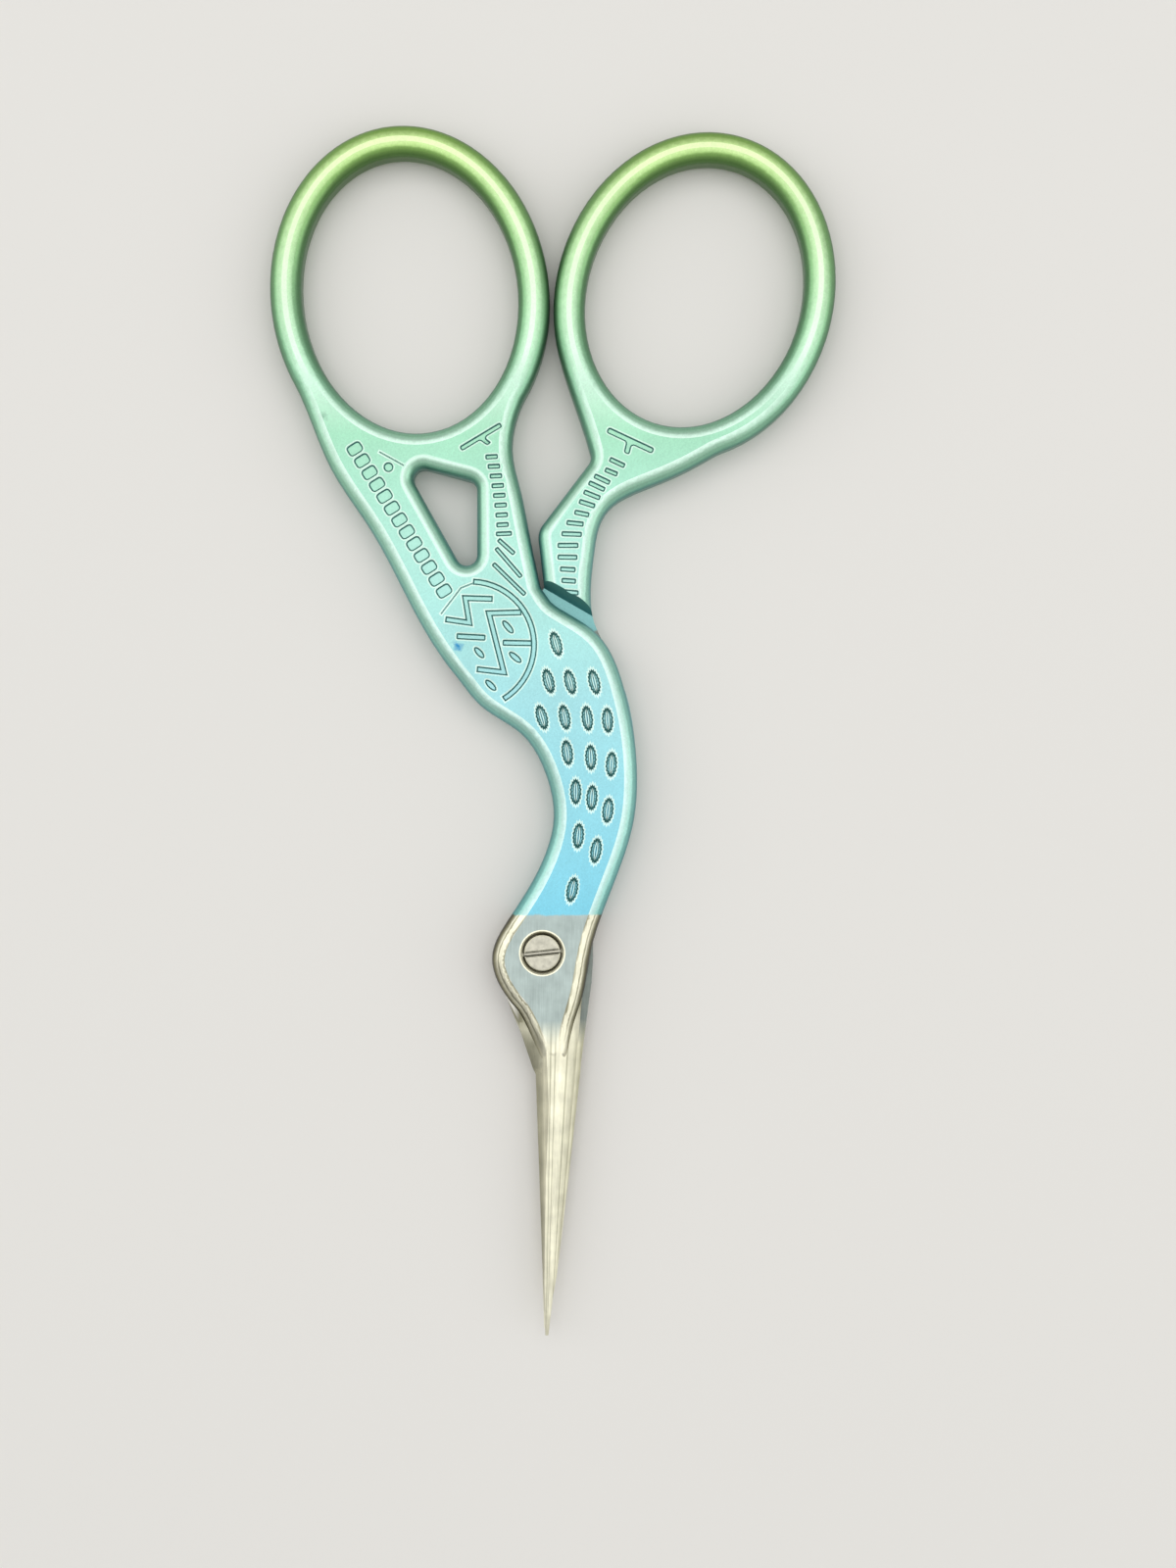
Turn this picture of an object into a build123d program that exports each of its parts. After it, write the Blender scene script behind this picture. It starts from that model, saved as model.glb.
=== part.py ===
from build123d import *

import os
from math import cos, radians, sin, sqrt

# Stork embroidery scissors, lying closed on their back. The pivot axis is the Z axis, the resting
# plane is z = 0, the finger rings lie towards +Y and the beak, which is the pair of blades,
# points towards -Y. Lengths are in millimetres and angles in degrees.

# Stock: where the halves lap each is one half_thickness, and the handles are both together. The
# rounding of the edges leaves a flat band between them, so the wall's share limits it
half_thickness = 1.8
edge_round = 1.25
round_limit_share = 0.47
mating_gap = 0.04
cut_overrun = 2.0

# Stork's body, from the pivot up to the crotch of the handles and out to the curve of its back
body_rise = 34.6
body_reach = 9.0
head_drop = 11.0
nose_round = 1.5
nose_left_deg = -157.0
nose_right_deg = -14.0
wing_corner_round = 2.2
crotch_round = 0.5

# Shoulders, where one half steps down to let the other lie across it
shoulder_lean = 0.8
front_shoulder_gap = 0.45
back_shoulder_lift = 0.12
back_shoulder_deg = -30.0

# Finger rings, which all but touch when the scissors are closed
ring_rise = 27.8
ring_band = 3.0
ring_gap = 0.34
ring_parting = 0.87
notch_round = 1.2
knee_round = 2.0
flare_reach = 2.9
left_hole_width = 20.5
left_hole_length = 26.3
left_ring_lean_deg = 6.9
right_hole_width = 20.4
right_hole_length = 25.4
right_ring_lean_deg = -16.8

# Where each ring's outline leaves its ellipse, measured round the ellipse from its own right
left_join_outer_deg = 206.0
left_join_inner_deg = 318.0
right_join_inner_deg = 215.0
right_join_outer_deg = 302.0

# Window between the left handle's two struts
window_round = 1.0

# Blades, measured down from the pivot
front_blade_reach = 36.5
back_blade_reach = 35.9
blade_width = 3.75

# Pivot screw, slotted, threaded into the back half and peened flush at the back
screw_head_diameter = 3.45
screw_head_height = 0.85
screw_sink = 0.07
screw_edge_chamfer = 0.15
slot_width = 0.7
slot_depth = 0.45
slot_deg = 6.0
shank_diameter = 2.3
thread_diameter = 1.9
peen_diameter = 2.7
peen_depth = 0.4
running_clearance = 0.05
seat_clearance = 0.03
thread_clearance = 0.02
counterbore_chamfer = 0.3

# Profiles of the body: across as shares of body_reach, up as shares of body_rise
LEFT_PROFILE_SHARES = (
    (-0.92, 0.76),
    (-0.66, 0.678),
    (-0.215, 0.597),
    (0.035, 0.489),
    (0.118, 0.367),
    (0.035, 0.273),
    (-0.16, 0.17),
    (-0.36, 0.09),
)
RIGHT_PROFILE_SHARES = (
    (0.60, 0.082),
    (0.85, 0.254),
    (0.96, 0.354),
    (1.0, 0.489),
    (0.855, 0.732),
    (0.62, 0.862),
    (0.33, 0.921),
    (0.105, 0.958),
)

# Profiles of the head: across as shares of body_reach, down as shares of head_drop
LEFT_HEAD_SHARES = (
    (-0.53, 0.017),
    (-0.48, 0.244),
    (-0.345, 0.425),
)
RIGHT_HEAD_SHARES = (
    (0.338, 0.622),
    (0.413, 0.418),
    (0.53, -0.07),
)
NOSE_CENTRE_SHARES = (0.115, 0.835)

# Struts of the left ring: along the straight line between a strut's ends, and out to its left, as
# shares of its length
OUTER_STRUT_SHARES = ((0.277, -0.027), (0.488, -0.012))
INNER_STRUT_SHARES = ((0.254, 0.034), (0.521, 0.067), (0.73, 0.093))

# Shank of the right ring: across as shares of its half breadth, up as shares of ring_rise
SHANK_NOTCH_SHARES = (0.35, 0.437)
SHANK_KNEE_SHARES = (-0.035, 0.192)
SHANK_RIGHT_SHARES = ((0.365, -0.115), (0.343, 0.003))
SHANK_FLARE_SHARES = ((0.361, 0.097), (0.402, 0.248), (0.387, 0.36), (0.856, 0.295))

# Sharp corners of the window: up as shares of the room between the crotch and the ring
WINDOW_SHARES = ((-0.996, 1.02), (-0.467, 0.858), (-0.467, -0.06))

# Blade stations: down as shares of the blade's reach, then across as shares of blade_width the
# cutting edge, the two sides of the crest's flat land, and the spine
FRONT_BLADE_SHARES = (
    (0.085, -1.04, 0.08, 0.43, 1.03),
    (0.21, -0.541, 0.13, 0.40, 0.92),
    (0.30, -0.25, 0.20, 0.333, 0.833),
    (0.32, -0.173, 0.197, 0.331, 0.824),
    (0.586, -0.08, 0.088, 0.253, 0.581),
    (0.86, 0.008, 0.053, 0.16, 0.307),
    (1.0, 0.067, 0.085, 0.128, 0.15),
)
BACK_BLADE_SHARES = (
    (0.085, 1.24, 0.60, 0.25, -0.95),
    (0.21, 1.08, 0.59, 0.35, -0.42),
    (0.294, 0.979, 0.57, 0.43, -0.10),
    (0.32, 0.96, 0.565, 0.43, -0.08),
    (0.603, 0.66, 0.48, 0.32, -0.02),
    (0.86, 0.36, 0.28, 0.18, 0.0),
    (1.0, 0.115, 0.09, 0.06, 0.045),
)
# Heights of the cutting edge, crest and spine above the mating face, as shares of half_thickness
BLADE_HEIGHT_SHARES = (
    (0.50, 0.66, 0.50),
    (0.46, 0.76, 0.50),
    (0.34, 0.86, 0.48),
    (0.07, 0.84, 0.46),
    (0.06, 0.62, 0.36),
    (0.05, 0.40, 0.25),
    (0.05, 0.20, 0.14),
)

FULL_TURN_DEG = 360

full_thickness = half_thickness + half_thickness
back_face_z = half_thickness - mating_gap / 2
front_face_z = half_thickness + mating_gap / 2
ring_centre_y = body_rise + ring_rise
rim_round = min(edge_round, round_limit_share * min(ring_band, full_thickness))


def half_breadth(width, length, lean):
    """Half of the room that a leaning ellipse takes across."""
    across = width / 2 * cos(radians(lean))
    along = length / 2 * sin(radians(lean))
    return sqrt(across * across + along * along)


left_half_breadth = half_breadth(
    left_hole_width + 2 * ring_band, left_hole_length + 2 * ring_band, left_ring_lean_deg
)
right_half_breadth = half_breadth(
    right_hole_width + 2 * ring_band, right_hole_length + 2 * ring_band, right_ring_lean_deg
)
left_ring_x = ring_parting - ring_gap / 2 - left_half_breadth
right_ring_x = ring_parting + ring_gap / 2 + right_half_breadth


def body_point(shares):
    """A point of the body above the pivot."""
    return Vector(shares[0] * body_reach, shares[1] * body_rise)


def head_point(shares):
    """A point of the head, below the pivot."""
    return Vector(shares[0] * body_reach, -shares[1] * head_drop)


def shank_point(shares):
    """A point of the right ring's shank, above the crotch."""
    return Vector(shares[0] * right_half_breadth, body_rise + shares[1] * ring_rise)


def strut_points(start, end, shares):
    """Points of a strut, measured from the straight line between its ends."""
    line = end - start
    left = Vector(-line.Y, line.X)
    return [start + line * along + left * out for along, out in shares]


crotch = Vector(0, body_rise)
wing_corner = body_point(LEFT_PROFILE_SHARES[0])
handle_root = body_point(RIGHT_PROFILE_SHARES[-3])
nose_centre = head_point(NOSE_CENTRE_SHARES)


def nose_arc():
    """Round end of the head, from its left side to its right."""
    return CenterArc(nose_centre, nose_round, nose_left_deg, nose_right_deg - nose_left_deg)


def left_profile(nose):
    """Breast, neck and face of the stork, from the wing down to the nose."""
    points = [body_point(share) for share in LEFT_PROFILE_SHARES]
    points += [head_point(share) for share in LEFT_HEAD_SHARES]
    start = points[1] - points[0]
    return Spline(*points, nose @ 0, tangents=(start, nose % 0))


def right_profile(nose, last, leaving):
    """Nape and back of the stork, from the nose up to the last point given."""
    points = [head_point(share) for share in RIGHT_HEAD_SHARES]
    points += [body_point(share) for share in RIGHT_PROFILE_SHARES if share[1] * body_rise < last.Y]
    return Spline(nose @ 1, *points, last, tangents=(nose % 1, leaving))


def ring_arc(centre_x, width, length, lean, start, end):
    """Outer edge of a finger ring, leaning about its centre."""
    return EllipticalCenterArc(
        (centre_x, ring_centre_y),
        width / 2 + ring_band,
        length / 2 + ring_band,
        start_angle=start,
        arc_size=end - start,
        rotation=lean,
    )


def finger_hole(centre_x, width, length, lean):
    """Face of a finger hole."""
    return Pos(centre_x, ring_centre_y) * Rot(0, 0, lean) * Ellipse(width / 2, length / 2)


def front_outline():
    """Left ring, both struts, body and head of the front half, seen from the front."""
    ring = ring_arc(
        left_ring_x, left_hole_width, left_hole_length, left_ring_lean_deg,
        left_join_inner_deg - FULL_TURN_DEG, left_join_outer_deg,
    )
    nose = nose_arc()
    profile = left_profile(nose)
    bends = strut_points(ring @ 1, wing_corner, OUTER_STRUT_SHARES)
    outer_strut = Spline(ring @ 1, *bends, wing_corner, tangents=(ring % 1, profile % 0))
    front_crotch = crotch - Vector(ring_gap / 2, 0)
    nape_end = body_point(RIGHT_PROFILE_SHARES[-1])
    back = right_profile(nose, front_crotch, front_crotch - nape_end)
    bends = strut_points(front_crotch, ring @ 0, INNER_STRUT_SHARES)
    inner_strut = Spline(front_crotch, *bends, ring @ 0, tangents=(bends[0] - front_crotch, ring % 0))
    face = make_face([ring, outer_strut, profile, nose, back, inner_strut])
    return fillet(face.vertices().sort_by_distance(front_crotch)[0], crotch_round)


def window():
    """Rounded triangle between the two struts."""
    web_rise = ring_rise - left_hole_length / 2 - ring_band
    corners = [(across * left_half_breadth, body_rise + up * web_rise) for across, up in WINDOW_SHARES]
    face = make_face(Polyline(*corners, close=True))
    return fillet(face.vertices(), window_round)


def back_outline():
    """Right ring, shank, body and head of the back half, seen from the front."""
    ring = ring_arc(
        right_ring_x, right_hole_width, right_hole_length, right_ring_lean_deg,
        right_join_outer_deg - FULL_TURN_DEG, right_join_inner_deg,
    )
    nose = nose_arc()
    profile = left_profile(nose)
    notch = shank_point(SHANK_NOTCH_SHARES)
    knee = shank_point(SHANK_KNEE_SHARES)
    back_crotch = crotch + Vector(ring_gap / 2, 0)
    neck = Spline(ring @ 1, notch, tangents=(ring % 1, ring % 1))
    shank_left = Polyline(notch, knee, back_crotch, wing_corner)
    shanks = [shank_point(share) for share in SHANK_RIGHT_SHARES]
    flares = [shank_point(share) for share in SHANK_FLARE_SHARES]
    back = right_profile(nose, handle_root, shanks[0] - handle_root)
    shank_right = Spline(handle_root, *shanks, flares[0], tangents=(back % 1, flares[1] - flares[0]))
    flare = Bezier(*flares, ring @ 0 - ring % 0 * flare_reach, ring @ 0)
    face = make_face([ring, neck, *shank_left.edges(), profile, nose, back, shank_right, flare])
    for corner, rounding in (
        (notch, notch_round), (knee, knee_round), (back_crotch, crotch_round), (wing_corner, wing_corner_round)
    ):
        face = fillet(face.vertices().sort_by_distance(corner)[0], rounding)
    return face


def rounded_plate(outline, *openings):
    """The full stock of a half, with both faces rounded over along the outline and each opening."""
    plate = extrude(outline, full_thickness)
    levels = plate.edges().group_by(Axis.Z)
    plate = fillet(levels[0] + levels[-1], rim_round)
    for opening in openings:
        plate -= extrude(opening, full_thickness)
        flats = plate.faces().sort_by(Axis.Z)
        middle = opening.center()
        rims = [
            flat.inner_wires().sort_by_distance(middle)[0] for flat in (flats[0], flats[-1])
        ]
        plate = fillet([edge for rim in rims for edge in rim.edges()], rim_round)
    return plate


def lap_cut(foot, along, face_z, outer_z):
    """Everything on the right of a shoulder between the mating face and the outer face.

    The shoulder runs through foot in the direction along, and leans back from it.
    """
    across = Vector(-along.Y, along.X)
    reach = body_rise + ring_rise + front_blade_reach
    shoulder = Plane(origin=foot, x_dir=across, z_dir=along)
    lean = shoulder_lean * abs(outer_z - face_z) / half_thickness
    profile = Polyline((-reach, face_z), (0, face_z), (lean, outer_z), (-reach, outer_z), close=True)
    return extrude(shoulder * make_face(profile), reach, both=True)


def blade(stations, reach, face_z, side):
    """Bevelled beak, lofted from inside the head to the point, rising from the mating face."""
    sections = []
    for (drop, edge, land_start, land_end, spine), heights in zip(stations, BLADE_HEIGHT_SHARES):
        edge_z, crest_z, spine_z = (face_z + side * share * half_thickness for share in heights)
        corners = (
            (edge * blade_width, face_z),
            (edge * blade_width, edge_z),
            (land_start * blade_width, crest_z),
            (land_end * blade_width, crest_z),
            (spine * blade_width, spine_z),
            (spine * blade_width, face_z),
        )
        points = [(across, -drop * reach, up) for across, up in corners]
        sections.append(make_face(Polyline(*points, close=True)))
    return loft(sections, ruled=True)


def front_half():
    """Front half, whose left ring hangs on two struts."""
    hole = finger_hole(left_ring_x, left_hole_width, left_hole_length, left_ring_lean_deg)
    half = rounded_plate(front_outline(), hole, window())
    along = (crotch - wing_corner).normalized()
    foot = wing_corner + Vector(-along.Y, along.X) * front_shoulder_gap
    half -= lap_cut(foot, along, front_face_z, -cut_overrun)
    half += blade(FRONT_BLADE_SHARES, front_blade_reach, front_face_z, 1)
    half -= counterbore()
    return half


def counterbore():
    """Running hole for the screw's shank, with a chamfered seat for its head."""
    seat_z = full_thickness - screw_sink - screw_head_height - seat_clearance
    hole = shank_diameter / 2 + running_clearance
    seat = screw_head_diameter / 2 + running_clearance
    mouth_z = full_thickness + cut_overrun
    profile = Polyline(
        (0, half_thickness - cut_overrun),
        (hole, half_thickness - cut_overrun),
        (hole, seat_z),
        (seat, seat_z),
        (seat, full_thickness - counterbore_chamfer),
        (seat + counterbore_chamfer, full_thickness),
        (seat + counterbore_chamfer, mouth_z),
        (0, mouth_z),
        close=True,
    )
    return revolve(Plane.XZ * make_face(profile), Axis.Z)


def back_half():
    """Back half, whose right ring stands on one shank."""
    hole = finger_hole(right_ring_x, right_hole_width, right_hole_length, right_ring_lean_deg)
    half = rounded_plate(back_outline(), hole)
    along = Vector(cos(radians(back_shoulder_deg)), sin(radians(back_shoulder_deg)))
    foot = crotch + Vector(0, back_shoulder_lift)
    half -= lap_cut(foot, along, back_face_z, full_thickness + cut_overrun)
    half += blade(BACK_BLADE_SHARES, back_blade_reach, back_face_z, -1)
    half -= screw_end(thread_clearance)
    return half


def screw_end(clearance):
    """The screw below the mating face: its thread's cylinder and the peened end."""
    thread = thread_diameter / 2 + clearance
    peen = peen_diameter / 2 + clearance
    profile = Polyline(
        (0, 0), (peen, 0), (thread, peen_depth), (thread, back_face_z), (0, back_face_z), close=True
    )
    return revolve(Plane.XZ * make_face(profile), Axis.Z)


def pivot_screw():
    """Slotted screw: head, running shank, thread and peened end."""
    head_top = full_thickness - screw_sink
    head_foot = head_top - screw_head_height
    shank = Pos(0, 0, back_face_z) * Cylinder(
        shank_diameter / 2, head_foot - back_face_z, align=(Align.CENTER, Align.CENTER, Align.MIN)
    )
    head = Pos(0, 0, head_foot) * Cylinder(
        screw_head_diameter / 2, screw_head_height, align=(Align.CENTER, Align.CENTER, Align.MIN)
    )
    head = chamfer(head.edges().group_by(Axis.Z)[-1], screw_edge_chamfer)
    slot = Pos(0, 0, head_top) * Rot(0, 0, slot_deg) * Box(
        screw_head_diameter + cut_overrun, slot_width, 2 * slot_depth
    )
    return head - slot + shank + screw_end(0)


os.makedirs("parts", exist_ok=True)
for name, piece in (("front_half", front_half()), ("back_half", back_half()), ("pivot_screw", pivot_screw())):
    export_step(piece, f"parts/{name}.step")
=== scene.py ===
"""Stork embroidery scissors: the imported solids, their pressed ornament, lacquer and bare steel."""

import math

import bpy
from bpy.props import FloatProperty, FloatVectorProperty, PointerProperty
from mathutils import Matrix, Vector


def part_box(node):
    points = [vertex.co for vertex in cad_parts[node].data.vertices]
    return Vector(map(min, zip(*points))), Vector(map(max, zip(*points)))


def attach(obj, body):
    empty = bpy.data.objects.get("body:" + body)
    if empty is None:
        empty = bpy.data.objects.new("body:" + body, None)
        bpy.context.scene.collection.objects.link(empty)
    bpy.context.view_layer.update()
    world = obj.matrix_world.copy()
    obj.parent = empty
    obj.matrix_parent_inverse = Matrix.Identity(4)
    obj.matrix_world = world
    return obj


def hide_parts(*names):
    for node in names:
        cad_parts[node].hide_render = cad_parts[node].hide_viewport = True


bl_info = {
    "name": "Stork embroidery scissors",
    "version": (1, 0, 0),
    "blender": (4, 5, 0),
    "location": "3D View > Sidebar > Scissors",
    "description": "Presses, lacquers and lights a pair of stork embroidery scissors",
    "category": "Object",
}

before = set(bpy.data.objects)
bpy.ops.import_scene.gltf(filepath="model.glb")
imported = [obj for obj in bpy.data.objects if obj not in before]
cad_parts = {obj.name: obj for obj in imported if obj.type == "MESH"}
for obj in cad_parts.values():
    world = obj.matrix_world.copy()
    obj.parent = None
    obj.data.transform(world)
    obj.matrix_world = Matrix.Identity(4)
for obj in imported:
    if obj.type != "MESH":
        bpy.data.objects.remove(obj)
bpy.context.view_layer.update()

MM = 0.001
MERGE_DISTANCE = 0.0005 * MM
SMOOTH_ANGLE = math.radians(24)

# Least upright share of a normal on a level face of the solids, and on an end of a prism
LEVEL, UPRIGHT = 0.99999, 0.9

# Height of the flat top faces that carry the ornament, in millimetres
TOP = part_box("front_half")[1].z / MM


def linear(hex_colour):
    """An sRGB hex colour as linear RGBA."""
    channels = [int(hex_colour[start:start + 2], 16) / 255 for start in (1, 3, 5)]
    return (*[c / 12.92 if c <= 0.04045 else ((c + 0.055) / 1.055) ** 2.4 for c in channels], 1.0)


def colour(name, description, hex_colour):
    """A colour that the user can change."""
    return FloatVectorProperty(
        name=name, description=description, subtype="COLOR", size=4, min=0, max=1, default=linear(hex_colour)
    )


def length(name, description, millimetres):
    """A length that the user can change, kept in metres."""
    return FloatProperty(
        name=name, description=description, default=millimetres * MM, min=0, unit="LENGTH", precision=5
    )


class ScissorsLacquerSettings(bpy.types.PropertyGroup):
    """Colours of the pearl lacquer, from the ring tops down to the neck."""

    ring_top: colour("Ring tops", "Lacquer at the top of the finger rings", "#9CCA62")
    ring_foot: colour("Ring feet", "Lacquer where the rings meet the struts", "#9CD6AE")
    strut: colour("Struts", "Lacquer on the struts and the wing", "#AADDCE")
    body: colour("Body", "Lacquer on the stork's body", "#9DD4D8")
    neck: colour("Neck", "Lacquer at the foot of the neck", "#7AC6DA")
    # Glint and ring glint are the colours of the painted highlight along the rounded edges and on the rings
    glint: colour("Glint", "Where the lacquer thins over an edge", "#E2F8EC")
    ring_glint: colour("Ring glint", "The same at the top of the rings", "#E8F5BC")
    # Grooves: the stippled feather floors, and the ornament's steep walls, darkened partly by pooled lacquer
    # and partly by painted shade
    groove: colour("Grooves", "Lacquer pooled in the pressed ornament", "#417778")
    # The wall colours are painted shade: the lacquer darkens on the rounded sides and towards the mating
    # faces
    ring_wall_shade: colour("Ring walls", "Side walls of the rings", "#23461C")
    strut_wall_shade: colour("Strut walls", "Side walls of the struts", "#1C5238")
    body_wall_shade: colour("Body walls", "Side walls of the body", "#207680")
    border: length("Border", "Where the lacquer ends, up from the pivot", 3.55)
    border_wander: length("Border wander", "How far the lacquer's edge wanders", 0.5)
    # Pearl flakes are about 0.03 mm across, too fine to show, and are drawn four times as coarse.
    flake: length("Flake", "Size of the pearl flakes", 0.12)


class ScissorsSteelSettings(bpy.types.PropertyGroup):
    """Colours of the bare steel."""

    flat: colour("Flat faces", "Satin steel on the flat faces", "#A2AFAB")
    # Rims is the colour of the painted highlight on the steel's rims, along the beak's crest and on the screw
    rim_highlight: colour("Rims", "Burnished steel on the rims and the beak", "#F0EDD4")
    olive: colour("Flanks", "Steel that turns away from the light", "#8B8970")
    # Sides is painted shade: the dark colour of the steel's walls under the rims and of its faces towards the
    # mating faces
    side: colour("Sides", "Dull steel under the rims", "#444235")
    screw: colour("Screw", "Turned steel of the screw", "#D4D1C0")
    # Grinding lines lie about 0.03 mm apart, too fine to show, and are drawn four times as coarse.
    grind: length("Grind", "Spacing of the grinding lines", 0.12)


class ScissorsOrnamentSettings(bpy.types.PropertyGroup):
    """Sizes of the pressed ornament."""

    depth: length("Depth", "How deep the ornament is pressed", 0.18)
    wall: length("Wall", "Width of the steep wall round each shape", 0.14)
    shoulder: length("Shoulder", "Width of the gentle slope outside each wall", 0.15)
    shoulder_drop: length("Shoulder drop", "How far the shoulder falls", 0.03)
    channel: length("Channel", "Width of the medallion's channels", 0.58)
    feather_length: length("Feather length", "Length of a feather", 2.6)
    feather_width: length("Feather width", "Width of a feather", 1.14)


class ScissorsStageSettings(bpy.types.PropertyGroup):
    """Floor, lamps and camera."""

    floor: colour("Floor", "Colour of the floor", "#E9E7E2")
    camera_height: length("Camera height", "Height of the camera above the floor", 200)
    overhead: FloatProperty(
        name="Overhead", description="Power of the overhead lamp", default=2.0, min=0, unit="POWER"
    )
    side: FloatProperty(name="Side", description="Power of each side lamp", default=0.8, min=0, unit="POWER")
    ambient: FloatProperty(name="Ambient", description="Strength of the world's light", default=0.45, min=0)


def activate(piece):
    """Makes a piece the only one selected, and active."""
    bpy.ops.object.select_all(action="DESELECT")
    piece.select_set(True)
    bpy.context.view_layer.objects.active = piece


def paint(piece, materials):
    """Gives a piece its materials, in their order."""
    for material in materials:
        piece.data.materials.append(material)


def merged_copy(node, name, materials):
    """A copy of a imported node's mesh with its loose triangles merged, and with its own materials."""
    piece = bpy.data.objects.new(name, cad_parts[node].data.copy())
    bpy.context.scene.collection.objects.link(piece)
    activate(piece)
    bpy.ops.object.mode_set(mode="EDIT")
    bpy.ops.mesh.select_all(action="SELECT")
    bpy.ops.mesh.remove_doubles(threshold=MERGE_DISTANCE)
    bpy.ops.object.mode_set(mode="OBJECT")
    bpy.ops.mesh.customdata_custom_splitnormals_clear()
    piece.data.materials.clear()
    paint(piece, materials)
    return piece


def combine(piece, tool, operation):
    """Joins a tool to a piece or cuts the piece with it. The tool is used up."""
    modifier = piece.modifiers.new("combine", "BOOLEAN")
    modifier.object = tool
    modifier.operation = operation
    modifier.solver = "MANIFOLD"
    modifier.material_mode = "TRANSFER"
    activate(piece)
    bpy.ops.object.modifier_apply(modifier=modifier.name)
    bpy.data.objects.remove(tool)


def finish_surface(piece):
    """Smooths the rounded faces and keeps the flat ones flat."""
    activate(piece)
    bpy.ops.object.shade_smooth_by_angle(angle=SMOOTH_ANGLE)
    level, leaning = set(), set()
    for face in piece.data.polygons:
        (level if abs(face.normal.z) > LEVEL else leaning).update(face.edge_keys)
    for edge in piece.data.edges:
        if edge.key in level and edge.key in leaning:
            edge.use_edge_sharp = True
    modifier = piece.modifiers.new("flats", "WEIGHTED_NORMAL")
    modifier.keep_sharp = True
    bpy.ops.object.modifier_apply(modifier=modifier.name)


# Outlines are lists of (x, y) in millimetres on the top face

ROUND_STEPS, OVAL_STEPS = 4, 18

# Rounding of the bird's feet, as a share of their width
FOOT_ROUND_SHARE = 0.45

# Least cosine that a mitre is worked out with, so that a sharp bend doesn't throw a point far out
CHANNEL_MITRE, SHOULDER_MITRE = 0.3, 0.4


def placed(points, centre, turn_deg):
    """An outline drawn about the origin, turned and moved to its place."""
    turn = math.radians(turn_deg)
    cos, sin = math.cos(turn), math.sin(turn)
    return [(centre[0] + x * cos - y * sin, centre[1] + x * sin + y * cos) for x, y in points]


def rounded(corners, radius):
    """An outline with each corner rounded, as far as its sides allow."""
    points = []
    for index, corner in enumerate(corners):
        here = Vector(corner)
        before = Vector(corners[index - 1]) - here
        after = Vector(corners[(index + 1) % len(corners)]) - here
        half = before.angle(after) / 2
        reach = min(radius / math.tan(half), before.length / 2, after.length / 2)
        start = here + before.normalized() * reach
        end = here + after.normalized() * reach
        for step in range(ROUND_STEPS + 1):
            share = step / ROUND_STEPS
            first, last = start.lerp(here, share), here.lerp(end, share)
            points.append(tuple(first.lerp(last, share)))
    return points


def bar(along, across, radius):
    """A bar about the origin along X, with rounded corners."""
    x, y = along / 2, across / 2
    return rounded([(-x, -y), (x, -y), (x, y), (-x, y)], radius)


def oval(along, across, steps=OVAL_STEPS, notch_share=0):
    """An oval about the origin along X. Every second point is drawn in by a share, which serrates it."""
    points = []
    for step in range(steps):
        angle = math.tau * step / steps
        size = 1 - notch_share * (step % 2)
        points.append((size * along / 2 * math.cos(angle), size * across / 2 * math.sin(angle)))
    return points


def channel(path, width):
    """A band of even width along a path, mitred at its bends."""
    stops = [Vector(point) for point in path]
    left, right = [], []
    for index, stop in enumerate(stops):
        arriving = (stop - stops[max(index - 1, 0)]).normalized()
        leaving = (stops[min(index + 1, len(stops) - 1)] - stop).normalized()
        ahead = (arriving + leaving).normalized()
        aside = Vector((-ahead.y, ahead.x))
        reach = width / 2 / max(ahead.dot(leaving if index == 0 else arriving), CHANNEL_MITRE)
        left.append(tuple(stop + aside * reach))
        right.append(tuple(stop - aside * reach))
    return left + right[::-1]


def arc(centre, radius, start_deg, end_deg, steps):
    """Points along an arc."""
    angles = [math.radians(start_deg + (end_deg - start_deg) * step / steps) for step in range(steps + 1)]
    return [(centre[0] + radius * math.cos(angle), centre[1] + radius * math.sin(angle)) for angle in angles]


def birds_foot(centre, turn_deg, span, width, stem, stem_turn_deg):
    """A long bar with a short stem that leaves it from the middle."""
    half, leg = span / 2, width / 2
    corners = [(-half, leg), (-half, -leg), (-leg, -leg), (-leg, -leg - stem), (leg, -leg - stem),
               (leg, -leg), (half, -leg), (half, leg)]
    lean = math.tan(math.radians(stem_turn_deg))
    corners = [(x + min(y + leg, 0) * -lean, y) for x, y in corners]
    return placed(rounded(corners, width * FOOT_ROUND_SHARE), centre, turn_deg)


# Tools that press the outlines into the steel

# How far a tool's back and its face stand above the top face before it is shaped
TOOL_LIFT, TOOL_SKIN = 0.3, 0.005

# Materials of a tool's faces, and the ways that an end can face
LACQUER_FACE, PRESSED_FACE = 0, 1
UP, DOWN = 1, -1

# How upright the faces of a tool are that press a wall: its sides are less, its floor is more
WALL_FROM, WALL_TO = 0.2, 0.9


def grown(outline, by):
    """An outline drawn counterclockwise, moved outwards on every side."""
    points = [Vector(point) for point in outline]
    moved = []
    for index, here in enumerate(points):
        before = (here - points[index - 1]).normalized()
        after = (points[(index + 1) % len(points)] - here).normalized()
        outward = Vector((before.y + after.y, -before.x - after.x)).normalized()
        reach = by / max(outward.dot(Vector((before.y, -before.x))), SHOULDER_MITRE)
        moved.append(tuple(here + outward * reach))
    return moved


def counterclockwise(outline):
    """The outline, turned round if it runs clockwise."""
    area = sum(x0 * y1 - x1 * y0 for (x0, y0), (x1, y1) in zip(outline, outline[1:] + outline[:1]))
    return outline if area > 0 else outline[::-1]


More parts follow.
